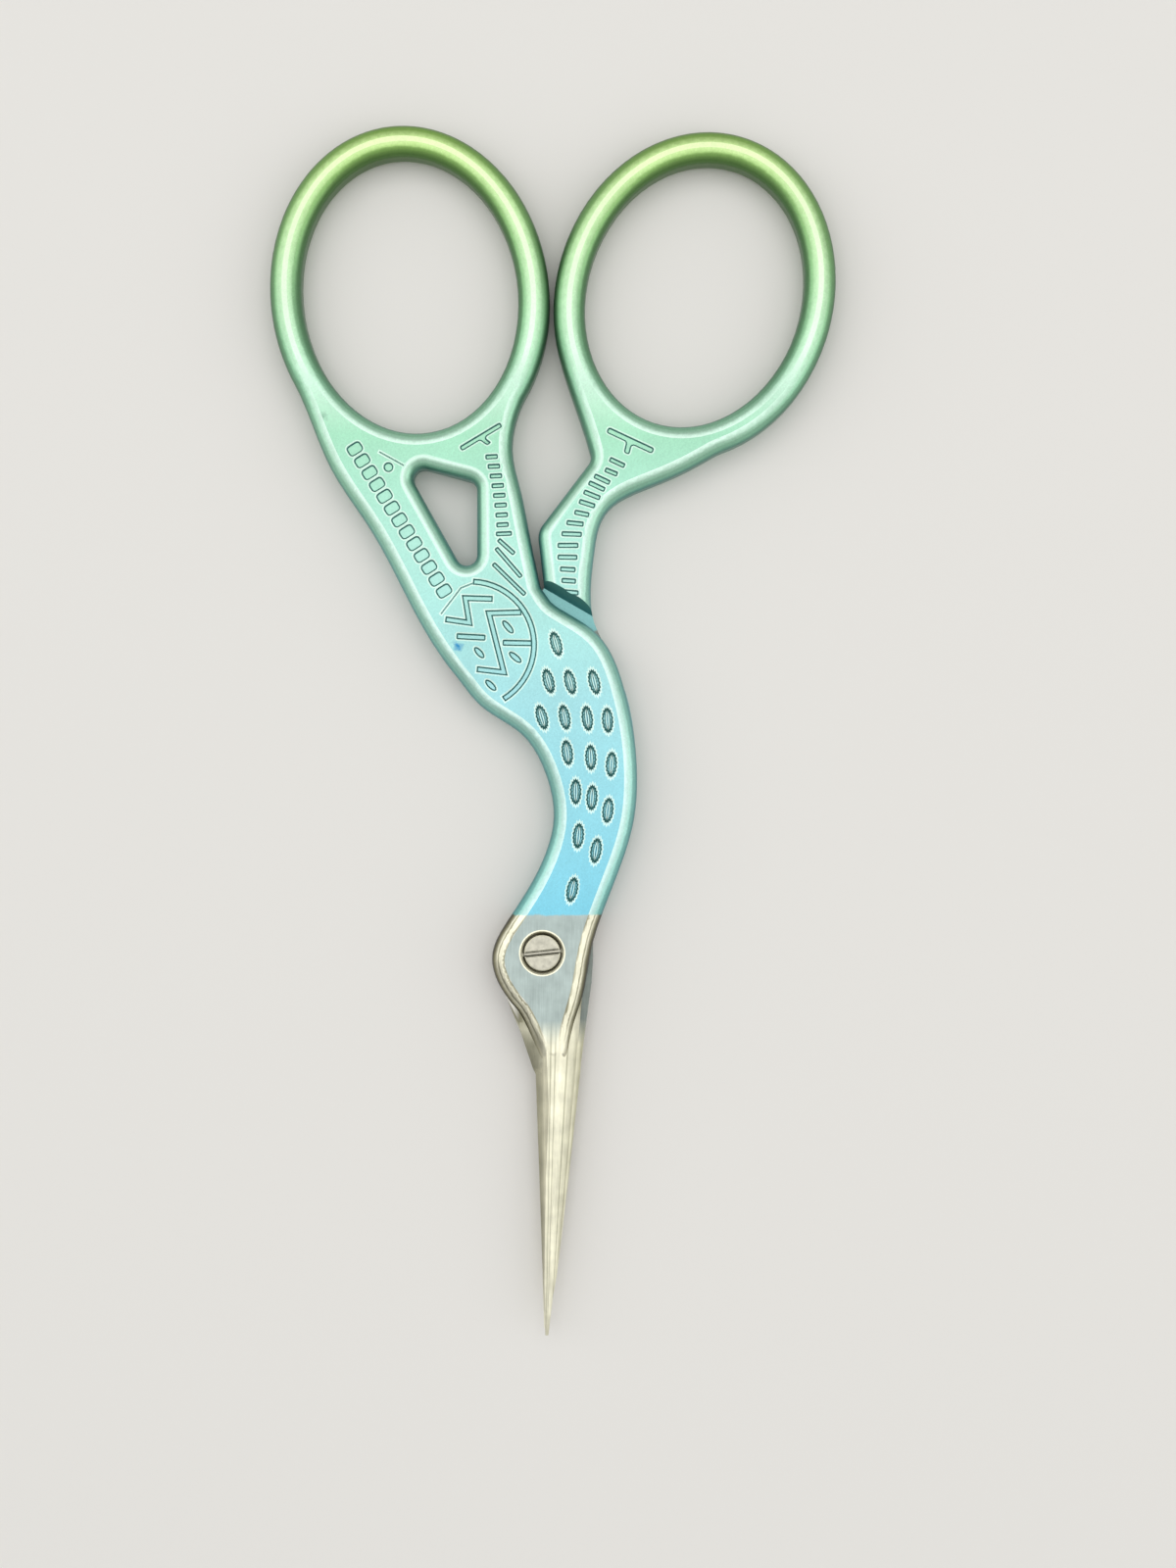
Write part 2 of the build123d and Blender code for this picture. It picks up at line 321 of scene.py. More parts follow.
def disc(vertices, radius=MM):
    """A flat face to start a piece from, about the origin, selected and active."""
    bpy.ops.object.select_all(action="DESELECT")
    bpy.ops.mesh.primitive_circle_add(vertices=vertices, radius=radius, fill_type="NGON")
    return bpy.context.object


def face_outwards():
    """Turns all faces of the piece in edit mode outwards, and leaves edit mode."""
    bpy.ops.mesh.select_all(action="SELECT")
    bpy.ops.mesh.normals_make_consistent(inside=False)
    bpy.ops.object.mode_set(mode="OBJECT")


def select_end(piece, towards):
    """Selects only the faces that point up or down."""
    bpy.ops.object.mode_set(mode="EDIT")
    bpy.ops.mesh.select_all(action="DESELECT")
    bpy.ops.object.mode_set(mode="OBJECT")
    for face in piece.data.polygons:
        face.select = face.normal.z * towards > UPRIGHT


def stepped(steps):
    """Insets the selected faces of the active piece step by step, each by a width and a depth."""
    bpy.ops.object.mode_set(mode="EDIT")
    for width, depth in steps:
        bpy.ops.mesh.inset(thickness=width, depth=depth)
    bpy.ops.object.mode_set(mode="OBJECT")


def prism(outline, top, bottom):
    """A closed prism between two heights, with its lower face selected."""
    piece = disc(len(outline))
    for vertex, (x, y) in zip(piece.data.vertices, outline):
        vertex.co = (x * MM, y * MM, top)
    bpy.ops.object.mode_set(mode="EDIT")
    bpy.ops.mesh.select_all(action="SELECT")
    bpy.ops.mesh.extrude_region_move(TRANSFORM_OT_translate={"value": (0, 0, bottom - top)})
    face_outwards()
    select_end(piece, DOWN)
    return piece


def tool(outline, ornament, materials, floor=LACQUER_FACE, share=1.0):
    """A press tool: a gentle shoulder, a steep wall inside it and a floor, below the top face.

    A share below 1 makes the wall slimmer and lower by as much, for a line that is very fine.
    """
    outline = grown(counterclockwise(outline), ornament.shoulder / MM)
    piece = prism(outline, (TOP + TOOL_LIFT) * MM, (TOP + TOOL_SKIN) * MM)
    stepped((
        (ornament.shoulder, ornament.shoulder_drop + TOOL_SKIN * MM),
        (ornament.wall * share, (ornament.depth - ornament.shoulder_drop) * share),
    ))
    for face in piece.data.polygons:
        if face.select:
            face.material_index = floor
        elif WALL_FROM < -face.normal.z < WALL_TO:
            face.material_index = PRESSED_FACE
    paint(piece, materials)
    return piece


def stamped(model, places):
    """Copies of a tool drawn about the origin, each with its own mesh. The tool is used up.

    A place is a centre, a turn in degrees and how much longer the copy is than the tool.
    """
    copies = []
    for centre, turn_deg, longer in places:
        copy = model.copy()
        copy.data = model.data.copy()
        bpy.context.scene.collection.objects.link(copy)
        for vertex in copy.data.vertices:
            vertex.co.x += math.copysign(longer / 2 * MM, vertex.co.x)
        move = Matrix.Translation((centre[0] * MM, centre[1] * MM, 0))
        copy.data.transform(move @ Matrix.Rotation(math.radians(turn_deg), 4, "Z"))
        copies.append(copy)
    bpy.data.objects.remove(model)
    return copies


def reaching(start, end, drawn_length):
    """The place of a bar drawn with some length, so that it reaches from start to end."""
    first, last = Vector(start), Vector(end)
    way = last - first
    return (first + last) / 2, math.degrees(math.atan2(way.y, way.x)), way.length - drawn_length


def joined(tools):
    """One tool made of several, which may cross."""
    first, *others = tools
    for other in others:
        combine(first, other, "UNION")
    return first


# Materials

# Patterns, in millimetres. These have their real size: the stippling in the feathers, the lacquer's
# orange peel, the airbrush's clouds, a ragged edge, the wander of the masked edge, the stains on
# bare steel and the scuffs on the screw
STIPPLE, PEEL, CLOUD, RAG, WANDER, MOTTLE, SCUFF = 0.2, 0.5, 6.0, 0.4, 1.2, 1.6, 0.6

# Polishing lines along the rims are 0.02 apart, too fine to show, and are drawn seven times as coarse
POLISH = 0.15

# Radius of the solids' rims, round which the polishing lines are spaced
RIM_ROUND = 1.25

# Grinding lines run along the blades, so their pattern is drawn out along Y
GRIND_SQUEEZE = 0.04

# Depth of the relief of grinding lines, orange peel and scuffs
RELIEF = 0.02

# A noise stays mostly between these
NOISE_LOW, NOISE_HIGH = 0.3, 0.7


def add_node(tree, kind, inputs=None, stops=None, **settings):
    """Adds a node: its settings, its inputs as values or as what feeds them, and a ramp's stops."""
    node = tree.nodes.new(kind)
    for name, value in settings.items():
        setattr(node, name, value)
    for socket, source in (inputs or {}).items():
        if isinstance(source, bpy.types.Node):
            source = source.outputs[0]
        if isinstance(source, bpy.types.NodeSocket):
            tree.links.new(source, node.inputs[socket])
        else:
            node.inputs[socket].default_value = source
    if stops:
        elements = node.color_ramp.elements
        elements[0].position, elements[1].position = stops[0][0], stops[-1][0]
        for position, _ in stops[1:-1]:
            elements.new(position)
        for element, (_, shade) in zip(elements, stops):
            element.color = shade if hasattr(shade, "__len__") else (shade, shade, shade, 1)
    return node


def new_material(name):
    """An empty material, its node tree and its shader."""
    material = bpy.data.materials.new(name)
    material.use_nodes = True
    tree = material.node_tree
    tree.nodes.clear()
    shader = add_node(tree, "ShaderNodeBsdfPrincipled")
    add_node(tree, "ShaderNodeOutputMaterial", {"Surface": shader})
    return material, tree, shader


def lean_of(tree, coordinates):
    """How far a face leans over: 0 where it is level, 1 where it is a wall."""
    sideways = add_node(
        tree, "ShaderNodeVectorMath", {0: coordinates.outputs["Normal"], 1: (1, 1, 0)}, operation="MULTIPLY"
    )
    return add_node(tree, "ShaderNodeVectorMath", {0: sideways}, operation="LENGTH").outputs["Value"]


# Width of the soft edge of a spot that isn't ragged
SPOT_EDGE = 0.02


def near(tree, place, centre, radius, raggedness):
    """1 within a ragged spot round a centre, 0 outside it."""
    middle = [c * MM for c in centre]
    offset = add_node(tree, "ShaderNodeVectorMath", {0: place, 1: middle}, operation="DISTANCE")
    rag = add_node(tree, "ShaderNodeTexNoise", {"Vector": place, "Scale": 1 / (RAG * MM), "Detail": 3})
    edge = add_node(tree, "ShaderNodeMath", {
        0: rag, 1: raggedness * MM, 2: offset.outputs["Value"],
    }, operation="MULTIPLY_ADD")
    return add_node(tree, "ShaderNodeMapRange", {
        "Value": edge, "From Min": (radius + raggedness) * MM,
        "From Max": (radius + raggedness / 2 - SPOT_EDGE) * MM,
    })


# Where each lacquer colour is pure, up from the pivot in millimetres, and where flats turn to rings
NECK_AT, BODY_AT, STRUT_AT, FOOT_AT, CROWN_AT = 4, 24, 38, 54, 78
RING_FROM, RING_TO = 49, 57

# Share of a colour along the lean: painted glint and painted shade on the flats' rims and on the rings, the
# mint tinge of all rims, and the ornament's walls, darkened partly by pooled lacquer and partly by painted
# shade. The last is along the stippling
GLINT_ON_FLATS = ((0, 0.0), (0.05, 0.12), (0.14, 0.75), (0.26, 0.55), (0.5, 0.18), (0.75, 0.0))
GLINT_ON_RINGS = ((0, 0.85), (0.06, 0.6), (0.22, 0.32), (0.5, 0.0))
SHADE_ON_FLATS = ((0.58, 0.0), (0.8, 0.35), (0.93, 0.72), (0.98, 0.76), (1, 0.6))
SHADE_ON_RINGS = ((0.3, 0.0), (0.62, 0.38), (0.84, 0.74), (0.97, 0.82), (1, 0.66))
MINT_ON_RIMS = ((0.16, 0.0), (0.36, 0.5), (1, 0.5))
SHADE_IN_GROOVES = ((0.3, 0.0), (0.55, 0.88), (1, 0.92))
STIPPLE_SHADES = ((0.42, 0.18), (0.58, 0.85))

# Marks in the lacquer, each with its centre, radius, raggedness and colour: a runny spot on the
# wing's edge and a scar at the left ring's foot
MARKS = (((-7.95, 29.0, 3.55), 0.12, 0.9, "#2F8ABC"), ((-20.7, 50.7, 3.4), 0.12, 0.9, "#5E9A78"))

# A chip at the shoulder's end
CHIP, CHIP_RADIUS, CHIP_RAG = (5.35, 30.1, 1.8), 0.55, 0.3

# Distance from the middle of the stock over which painted shade darkens the lacquer, towards the mating faces
SUNK_FROM, SUNK_TO, SUNK_MOST = 1.35, 0.1, 0.5

# How far the masked edge fades below and above its line
FADE_BELOW, FADE_ABOVE = 0.05, 0.12


def lacquer_colour(tree, place, height, lean, away, pressed):
    """Pearl lacquer: milky where it lies level, with a painted highlight over each edge and painted shade on
    its walls.
    """
    lacquer = bpy.context.scene.scissors_lacquer
    body_share, strut_share, foot_share = (
        (at - NECK_AT) / (CROWN_AT - NECK_AT) for at in (BODY_AT, STRUT_AT, FOOT_AT)
    )
    share = add_node(
        tree, "ShaderNodeMapRange", {"Value": height, "From Min": NECK_AT * MM, "From Max": CROWN_AT * MM}
    )
    coat, wall, bright, mint = (
        add_node(tree, "ShaderNodeValToRGB", {0: share}, stops) for stops in (
            ((0, lacquer.neck), (body_share, lacquer.body), (strut_share, lacquer.strut),
             (foot_share, lacquer.ring_foot), (1, lacquer.ring_top)),
            ((0, lacquer.body_wall_shade), (strut_share, lacquer.body_wall_shade), (foot_share, lacquer.strut_wall_shade),
             (1, lacquer.ring_wall_shade)),
            ((foot_share, lacquer.glint), (1, lacquer.ring_glint)),
            ((foot_share, lacquer.ring_foot), (1, lacquer.ring_top)),
        )
    )
    ring = add_node(
        tree, "ShaderNodeMapRange", {"Value": height, "From Min": RING_FROM * MM, "From Max": RING_TO * MM}
    )
    glint, shade = (
        add_node(tree, "ShaderNodeMix", {
            0: ring, 6: add_node(tree, "ShaderNodeValToRGB", {0: lean}, on_flats),
            7: add_node(tree, "ShaderNodeValToRGB", {0: lean}, on_rings),
        }, data_type="RGBA").outputs[2]
        for on_flats, on_rings in ((GLINT_ON_FLATS, GLINT_ON_RINGS), (SHADE_ON_FLATS, SHADE_ON_RINGS))
    )
    sunk = add_node(tree, "ShaderNodeMapRange", {
        "Value": away, "From Min": SUNK_FROM * MM, "From Max": SUNK_TO * MM, "To Max": SUNK_MOST,
    }, interpolation_type="SMOOTHSTEP")
    tinge = add_node(tree, "ShaderNodeValToRGB", {0: lean}, MINT_ON_RIMS)
    layers = [(near(tree, place, centre, radius, rag), linear(tint)) for centre, radius, rag, tint in MARKS]
    layers += [(tinge, mint), (glint, bright)]
    if pressed:
        grain = add_node(tree, "ShaderNodeTexNoise", {
            "Vector": place, "Scale": 1 / (STIPPLE * MM), "Detail": 2, "Roughness": 0.7,
        })
        pits = add_node(tree, "ShaderNodeValToRGB", {0: grain}, STIPPLE_SHADES)
        # The groove colour covers the feathers' stippling and the ornament's steep walls, partly pooled
        # lacquer and partly painted shade
        sides = add_node(tree, "ShaderNodeValToRGB", {0: lean}, SHADE_IN_GROOVES)
        pooled = add_node(tree, "ShaderNodeMath", {0: pits, 1: sides}, operation="MAXIMUM")
        layers.append((pooled, lacquer.groove))
    else:
        layers.append((shade, wall))
    # Painted shade towards the mating faces, in the wall colour
    layers.append((sunk, wall))
    for cover, tint in layers:
        coat = add_node(tree, "ShaderNodeMix", {0: cover, 6: coat, 7: tint}, data_type="RGBA").outputs[2]

    flakes = add_node(tree, "ShaderNodeTexVoronoi", {"Vector": place, "Scale": 1 / lacquer.flake})
    clouds = add_node(tree, "ShaderNodeTexNoise", {"Vector": place, "Scale": 1 / (CLOUD * MM), "Detail": 3})
    polish = add_node(tree, "ShaderNodeTexNoise", {
        "W": lean, "Scale": RIM_ROUND / POLISH, "Detail": 2,
    }, noise_dimensions="1D")
    for source, low, high, swing in (
        (flakes.outputs["Color"], 0, 1, 0.07), (clouds, NOISE_LOW, NOISE_HIGH, 0.05),
        (polish, NOISE_LOW, NOISE_HIGH, 0.07),
    ):
        tone = add_node(tree, "ShaderNodeMapRange", {
            "Value": source, "From Min": low, "From Max": high, "To Min": 1 - swing, "To Max": 1 + swing,
        })
        coat = add_node(tree, "ShaderNodeVectorMath", {0: coat, "Scale": tone}, operation="SCALE").outputs[0]
    return coat


# Centre line of the beak's crest: across where it would pass the pivot and per millimetre up, then
# the half width of its band of painted highlight in the same way
CREST_ACROSS, CREST_SLOPE = 1.24, 0.0229
BAND_ACROSS, BAND_SLOPE = 1.1, 0.024

# Long streaks of the ground beak, grinding lines and painted highlight, from two half widths left of its
# crest to three right of it
STREAKS_FROM, STREAKS_TO = -2, 3
STREAKS = (
    (0, 0.3), (0.1, 0.42), (0.17, 0.66), (0.2, 1.0), (0.25, 1.0), (0.29, 0.78), (0.325, 0.86),
    (0.35, 0.25), (0.375, 0.92), (0.425, 1.0), (0.45, 0.35), (0.475, 1.0), (0.58, 0.98), (0.64, 0.84),
    (0.69, 0.8), (0.715, 0.15), (0.74, 0.75), (0.85, 0.55), (0.9, 0.3), (0.93, 0.7), (1, 0.2),
)

# Where the flat face gives way to the ground beak, and the painted shade on its sides along the lean
BEAK_FROM, BEAK_TO = -6.4, -8.9
SIDE_ON_BEAK = ((0.7, 0.0), (0.9, 0.35), (1, 0.15))

# The seat round the screw, in the rims' highlight colour with painted shade on its walls, and the thin
# painted highlight where a flat face starts to turn over
SEAT_RADIUS = 2.2
RIM_HIGHLIGHT = "#FAF8EE"

# Distance from the middle of the stock over which painted shade darkens the steel, towards the mating faces
LOW_SHADE_FROM, LOW_SHADE_TO, LOW_SHADE_MOST = 1.25, 0.75, 0.6


def bare_colour(tree, place, parts, lean, away):
    """Satin steel with painted highlights on its rims that run on into the beak, and painted shade on the
    side walls.
    """
    steel = bpy.context.scene.scissors_steel
    line = linear(RIM_HIGHLIGHT)
    # Along the lean: the flat steel, then bands of painted highlight and painted shade over the rims, darkest
    # on the walls
    metal, seat = (
        add_node(tree, "ShaderNodeValToRGB", {0: lean}, stops) for stops in (
            ((0, steel.flat), (0.03, steel.flat), (0.06, line), (0.11, line), (0.16, steel.olive),
             (0.22, steel.rim_highlight), (0.4, steel.rim_highlight), (0.5, steel.olive), (0.6, steel.rim_highlight),
             (0.78, steel.olive), (0.94, steel.side), (0.98, steel.side), (1, steel.olive)),
            ((0, steel.rim_highlight), (0.8, steel.rim_highlight), (0.95, steel.side)),
        )
    )
    crest, band = (
        add_node(tree, "ShaderNodeMath", {
            0: parts.outputs["Y"], 1: slope, 2: across * MM,
        }, operation="MULTIPLY_ADD")
        for across, slope in ((CREST_ACROSS, CREST_SLOPE), (BAND_ACROSS, BAND_SLOPE))
    )
    offset = add_node(tree, "ShaderNodeMath", {0: parts.outputs["X"], 1: crest}, operation="SUBTRACT")
    bands = add_node(tree, "ShaderNodeMath", {0: offset, 1: band}, operation="DIVIDE")
    streak = add_node(
        tree, "ShaderNodeMapRange", {"Value": bands, "From Min": STREAKS_FROM, "From Max": STREAKS_TO}
    )
    streaks = add_node(tree, "ShaderNodeValToRGB", {0: streak}, STREAKS)
    sides = add_node(tree, "ShaderNodeValToRGB", {0: lean}, SIDE_ON_BEAK)
    beak = steel.olive
    for cover, tint in ((streaks, steel.rim_highlight), (sides, steel.side)):
        beak = add_node(tree, "ShaderNodeMix", {0: cover, 6: beak, 7: tint}, data_type="RGBA").outputs[2]

    low_shade = add_node(tree, "ShaderNodeMapRange", {
        "Value": away, "From Min": LOW_SHADE_FROM * MM, "From Max": LOW_SHADE_TO * MM, "To Max": LOW_SHADE_MOST,
    })
    below = add_node(tree, "ShaderNodeMapRange", {
        "Value": parts.outputs["Y"], "From Min": BEAK_FROM * MM, "From Max": BEAK_TO * MM,
    })
    seated = near(tree, place, (0, 0, TOP), SEAT_RADIUS, 0)
    for cover, tint in ((low_shade, steel.side), (below, beak), (seated, seat)):
        metal = add_node(tree, "ShaderNodeMix", {0: cover, 6: metal, 7: tint}, data_type="RGBA").outputs[2]
    return metal


def lacquered_steel(name, pressed=False):
    """Drop-forged steel, airbrushed with pearl lacquer down to the neck and left bare below.

    The lacquer shimmers softly with wide highlights, and the ground steel has a satin, streaky gleam; both
    carry painted highlights and painted shade in their colour.
    """
    lacquer = bpy.context.scene.scissors_lacquer
    material, tree, shader = new_material(name)
    coordinates = add_node(tree, "ShaderNodeTexCoord")
    place = coordinates.outputs["Object"]
    parts = add_node(tree, "ShaderNodeSeparateXYZ", {0: place})
    height = parts.outputs["Y"]
    lean = lean_of(tree, coordinates)
    offset = add_node(tree, "ShaderNodeMath", {0: parts.outputs["Z"], 1: TOP / 2 * MM}, operation="SUBTRACT")
    away = add_node(tree, "ShaderNodeMath", {0: offset}, operation="ABSOLUTE")

    stretched = add_node(tree, "ShaderNodeMapping", {"Vector": place, "Scale": (1, GRIND_SQUEEZE, 1)})
    grind = add_node(tree, "ShaderNodeTexNoise", {
        "Vector": stretched, "Scale": 1 / bpy.context.scene.scissors_steel.grind, "Detail": 3,
    })
    streak = add_node(tree, "ShaderNodeMapRange", {
        "Value": grind, "From Min": NOISE_LOW, "From Max": NOISE_HIGH, "To Min": 0.9, "To Max": 1.08,
    })
    metal = bare_colour(tree, place, parts, lean, away)
    mottle = add_node(tree, "ShaderNodeTexNoise", {"Vector": place, "Scale": 1 / (MOTTLE * MM), "Detail": 4})
    blotch = add_node(tree, "ShaderNodeMapRange", {
        "Value": mottle, "From Min": NOISE_LOW, "From Max": NOISE_HIGH, "To Min": 0.88, "To Max": 1.12,
    })
    for tone in (streak, blotch):
        metal = add_node(tree, "ShaderNodeVectorMath", {0: metal, "Scale": tone}, operation="SCALE")
    coat = lacquer_colour(tree, place, height, lean, away, pressed)

    wander = add_node(tree, "ShaderNodeTexNoise", {"Vector": place, "Scale": 1 / (WANDER * MM), "Detail": 4})
    edge = add_node(
        tree, "ShaderNodeMath", {0: wander, 1: -lacquer.border_wander, 2: height}, operation="MULTIPLY_ADD"
    )
    border = lacquer.border - lacquer.border_wander / 2
    covered = add_node(tree, "ShaderNodeMapRange", {
        "Value": edge, "From Min": border - FADE_BELOW * MM, "From Max": border + FADE_ABOVE * MM,
    })
    chipped = near(tree, place, CHIP, CHIP_RADIUS, CHIP_RAG)
    painted = add_node(tree, "ShaderNodeMath", {0: covered, 1: chipped}, operation="SUBTRACT", use_clamp=True)
    finish = add_node(tree, "ShaderNodeMix", {0: painted, 6: metal, 7: coat}, data_type="RGBA")
    tree.links.new(finish.outputs[2], shader.inputs["Base Color"])
    for socket, bare, lacquered in (("Metallic", 1.0, 0.6), ("Roughness", 0.32, 0.33)):
        value = add_node(tree, "ShaderNodeMapRange", {"Value": painted, "To Min": bare, "To Max": lacquered})
        tree.links.new(value.outputs[0], shader.inputs[socket])

    peel = add_node(tree, "ShaderNodeTexNoise", {"Vector": place, "Scale": 1 / (PEEL * MM), "Detail": 2})
    relief = add_node(tree, "ShaderNodeMix", {0: painted, 2: grind, 3: peel}, data_type="FLOAT")
    bump = add_node(tree, "ShaderNodeBump", {"Height": relief, "Strength": 0.25, "Distance": RELIEF * MM})
    tree.links.new(bump.outputs[0], shader.inputs["Normal"])
    return material


def turned_steel():
    """Turned carbon steel, bright but scuffed by screwdrivers, with painted highlights on its edges and
    painted shade on its walls and in its slot.
    """
    steel = bpy.context.scene.scissors_steel
    material, tree, shader = new_material("turned_steel")
    coordinates = add_node(tree, "ShaderNodeTexCoord")
    scuffs = add_node(tree, "ShaderNodeTexNoise", {
        "Vector": coordinates.outputs["Object"], "Scale": 1 / (SCUFF * MM), "Detail": 5,
    })
    tone = add_node(tree, "ShaderNodeMapRange", {
        "Value": scuffs, "From Min": NOISE_LOW, "From Max": NOISE_HIGH, "To Min": 0.66, "To Max": 1.1,
    })
    # Painted highlight and painted shade along the lean
    lit = add_node(tree, "ShaderNodeValToRGB", {0: lean_of(tree, coordinates)}, (
        (0, steel.screw), (0.25, steel.rim_highlight), (0.5, steel.olive), (0.9, steel.side),
    ))
    # The painted light, toned by the scuffs
    worn = add_node(tree, "ShaderNodeVectorMath", {0: lit, "Scale": tone}, operation="SCALE")
    rough = add_node(tree, "ShaderNodeMapRange", {"Value": scuffs, "To Min": 0.35, "To Max": 0.6})
    bump = add_node(tree, "ShaderNodeBump", {"Height": scuffs, "Strength": 0.4, "Distance": RELIEF * MM})
    for socket, node in (("Base Color", worn), ("Roughness", rough), ("Normal", bump)):
        tree.links.new(node.outputs[0], shader.inputs[socket])
    shader.inputs["Metallic"].default_value = 1.0
    return material


def plain_floor():
    """Pale matt board, which gives soft shadows and no reflections."""
    stage = bpy.context.scene.scissors_stage
    material, _, shader = new_material("matt_board")
    shader.inputs["Base Color"].default_value = stage.floor
    shader.inputs["Roughness"].default_value = 0.9
    return material


# Ornament, in millimetres on the top face

# Feathers: centre and the lean of the long side, from the shoulder down to the neck
FEATHERS = (
    ((1.31, 29.22), 106), ((0.60, 25.70), 105), ((2.64, 25.61), 104), ((4.92, 25.61), 104),
    ((-0.03, 22.28), 106), ((2.12, 22.28), 101), ((4.26, 22.18), 97), ((6.18, 22.00), 94),
    ((2.37, 18.94), 98), ((4.59, 18.48), 92), ((6.54, 17.83), 87),
    ((3.17, 15.24), 90), ((4.70, 14.68), 87), ((6.21, 13.48), 84),
    ((3.42, 11.07), 85), ((5.08, 9.68), 81), ((2.84, 5.98), 78),
)
FEATHER_STEPS, FEATHER_NOTCH_SHARE = 36, 0.15

# A quill's size as shares of its feather's. Its foot and first edge lie so many ornament depths down,
# and its two slopes are shares of the ornament's wall across and of its depth upwards
QUILL_LENGTH_SHARE, QUILL_WIDTH_SHARE = 0.76, 0.44
QUILL_FOOT, QUILL_EDGE = 2, 0.9
QUILL_SLOPES = ((0.55, 0.75), (0.5, 0.08))

# Beads of the outer strut, evenly spaced from the first to the last
FIRST_BEAD, LAST_BEAD = (-17.71, 47.65), (-9.28, 34.22)
BEAD_COUNT = 13
BEAD_ALONG, BEAD_ACROSS, BEAD_ROUND = 1.1, 1.5, 0.41
EYELET, EYELET_WIDTH = (-14.53, 45.92), 0.95

# A fine line beside the eyelet, and how wide and how deep fine lines are pressed
STRUT_LINE = ((-15.40, 47.37), (-13.08, 46.08))
FINE_LINE, FINE_SHARE = 0.14, 0.4

# Rungs of the inner strut, evenly spaced on a gentle bow
FIRST_RUNG, LAST_RUNG, RUNG_BOW = (-4.78, 46.91), (-3.75, 40.48), 0.14
RUNG_COUNT = 8
RUNG_LENGTH, RUNG_WIDTH, RUNG_ROUND, RUNG_DEG = 1.2, 0.48, 0.16, 3

# Bird's-foot marks: centre, turn, span, width, length of the stem and its turn
FRONT_FOOT = ((-5.80, 48.80), 31, 4.5, 0.52, 0.75, 25)
BACK_FOOT = ((8.33, 48.45), -25, 4.8, 0.6, 1.0, 12)

# Slanting strokes under the rungs, from end to end
STROKES = (
    ((-4.39, 39.60), (-2.85, 39.67)),
    ((-4.16, 39.10), (-2.62, 37.72)),
    ((-4.38, 38.30), (-1.97, 35.52)),
    ((-4.65, 36.82), (-1.60, 33.85)),
)
STROKE_LENGTH, STROKE_WIDTH = 1.54, 0.46

# Wing medallion: a ring channel round zigzags, bars and ovals. An oval has a centre, length and turn
MEDALLION, MEDALLION_RADIUS = (-6.75, 29.13), 5.98
MEDALLION_START_DEG, MEDALLION_END_DEG, MEDALLION_STEPS = -59, 88, 24
MEDALLION_EDGE = ((-9.56, 32.05), (-7.68, 34.50), (-6.45, 34.98))
UPPER_ZIGZAG = ((-9.16, 31.55), (-6.89, 31.22), (-7.27, 33.55), (-4.67, 33.47))
LOWER_ZIGZAG = ((-1.95, 32.20), (-5.04, 32.12), (-3.63, 26.54), (-6.19, 26.83))
CELL_BAR_LENGTH = 2.76
CELL_BARS = (((-8.11, 29.95), (-5.35, 29.80)), ((-3.75, 29.33), (-0.95, 29.28)))
MEDALLION_OVALS = (
    ((-3.24, 30.82), 1.55, -50), ((-5.95, 28.39), 1.35, -48), ((-2.55, 27.95), 1.2, -40),
    ((-4.86, 25.31), 1.3, -45),
)
OVAL_LENGTH, OVAL_WIDTH = 1.35, 0.62

# Ladder of the back half's shank: centre, length and lean of each rung
SHANK_RUNGS = (
    ((7.09, 46.36), 1.6, -25), ((6.53, 45.47), 1.3, -22), ((5.66, 44.78), 0.95, -25),
    ((5.16, 44.13), 0.9, -25), ((4.70, 43.30), 0.9, -22), ((4.24, 42.47), 1.0, -18),
    ((3.75, 41.54), 1.15, -12), ((3.11, 40.61), 1.65, -6), ((2.79, 39.60), 1.95, -2),
    ((2.44, 38.53), 2.0, 0), ((2.39, 37.41), 1.9, -1), ((2.42, 36.26), 1.5, -3),
    ((2.51, 35.18), 1.4, -4), ((2.71, 34.09), 1.1, -5),
)
SHANK_RUNG_LENGTH, SHANK_RUNG_WIDTH = 1.3, 0.5


def feather_tools(ornament, materials):
    """Serrated ovals, each with a raised quill left standing along its middle."""
    along, across = ornament.feather_length / MM, ornament.feather_width / MM
    outline = oval(along, across, FEATHER_STEPS, FEATHER_NOTCH_SHARE)
    feather = tool(outline, ornament, materials, PRESSED_FACE)
    ridge_line = oval(along * QUILL_LENGTH_SHARE, across * QUILL_WIDTH_SHARE)
    combine(feather, quill(ridge_line, ornament, materials), "DIFFERENCE")
    return stamped(feather, [(centre, lean_deg, 0) for centre, lean_deg in FEATHERS])


def quill(outline, ornament, materials):
    """A slim ridge from under a feather's floor nearly up to the top face."""
    foot, edge = (TOP * MM - depths * ornament.depth for depths in (QUILL_FOOT, QUILL_EDGE))
    piece = prism(outline[::-1], foot, edge)
    select_end(piece, UP)
    stepped((ornament.wall * across, ornament.depth * rise) for across, rise in QUILL_SLOPES)
    paint(piece, materials)
    return piece


def between(first, last, share, bow=0):
    """A point on the way from first to last, bowed to the left of the way."""
    start, end = Vector(first), Vector(last)
    way = end - start
    aside = Vector((-way.y, way.x)).normalized()
    return tuple(start + way * share + aside * bow * 4 * share * (1 - share))


# Ridges from the head's point down into each beak, as two sections: how far along, the heights of
# the foot and the crest, then across the left foot, both sides of the crest and the right foot
FRONT_RIDGE = (
    (-9.1, (2.75, 3.597), (-0.3, 0.4, 1.7, 2.36)),
    (-15.0, (2.75, 3.18), (0.25, 0.62, 1.12, 2.3)),
)
BACK_RIDGE = (
    (-9.0, (0.85, 0.003), (-0.3, 0.78, 1.28, 2.36)),
    (-15.0, (0.85, 0.42), (0.3, 1.5, 2.0, 2.4)),
)


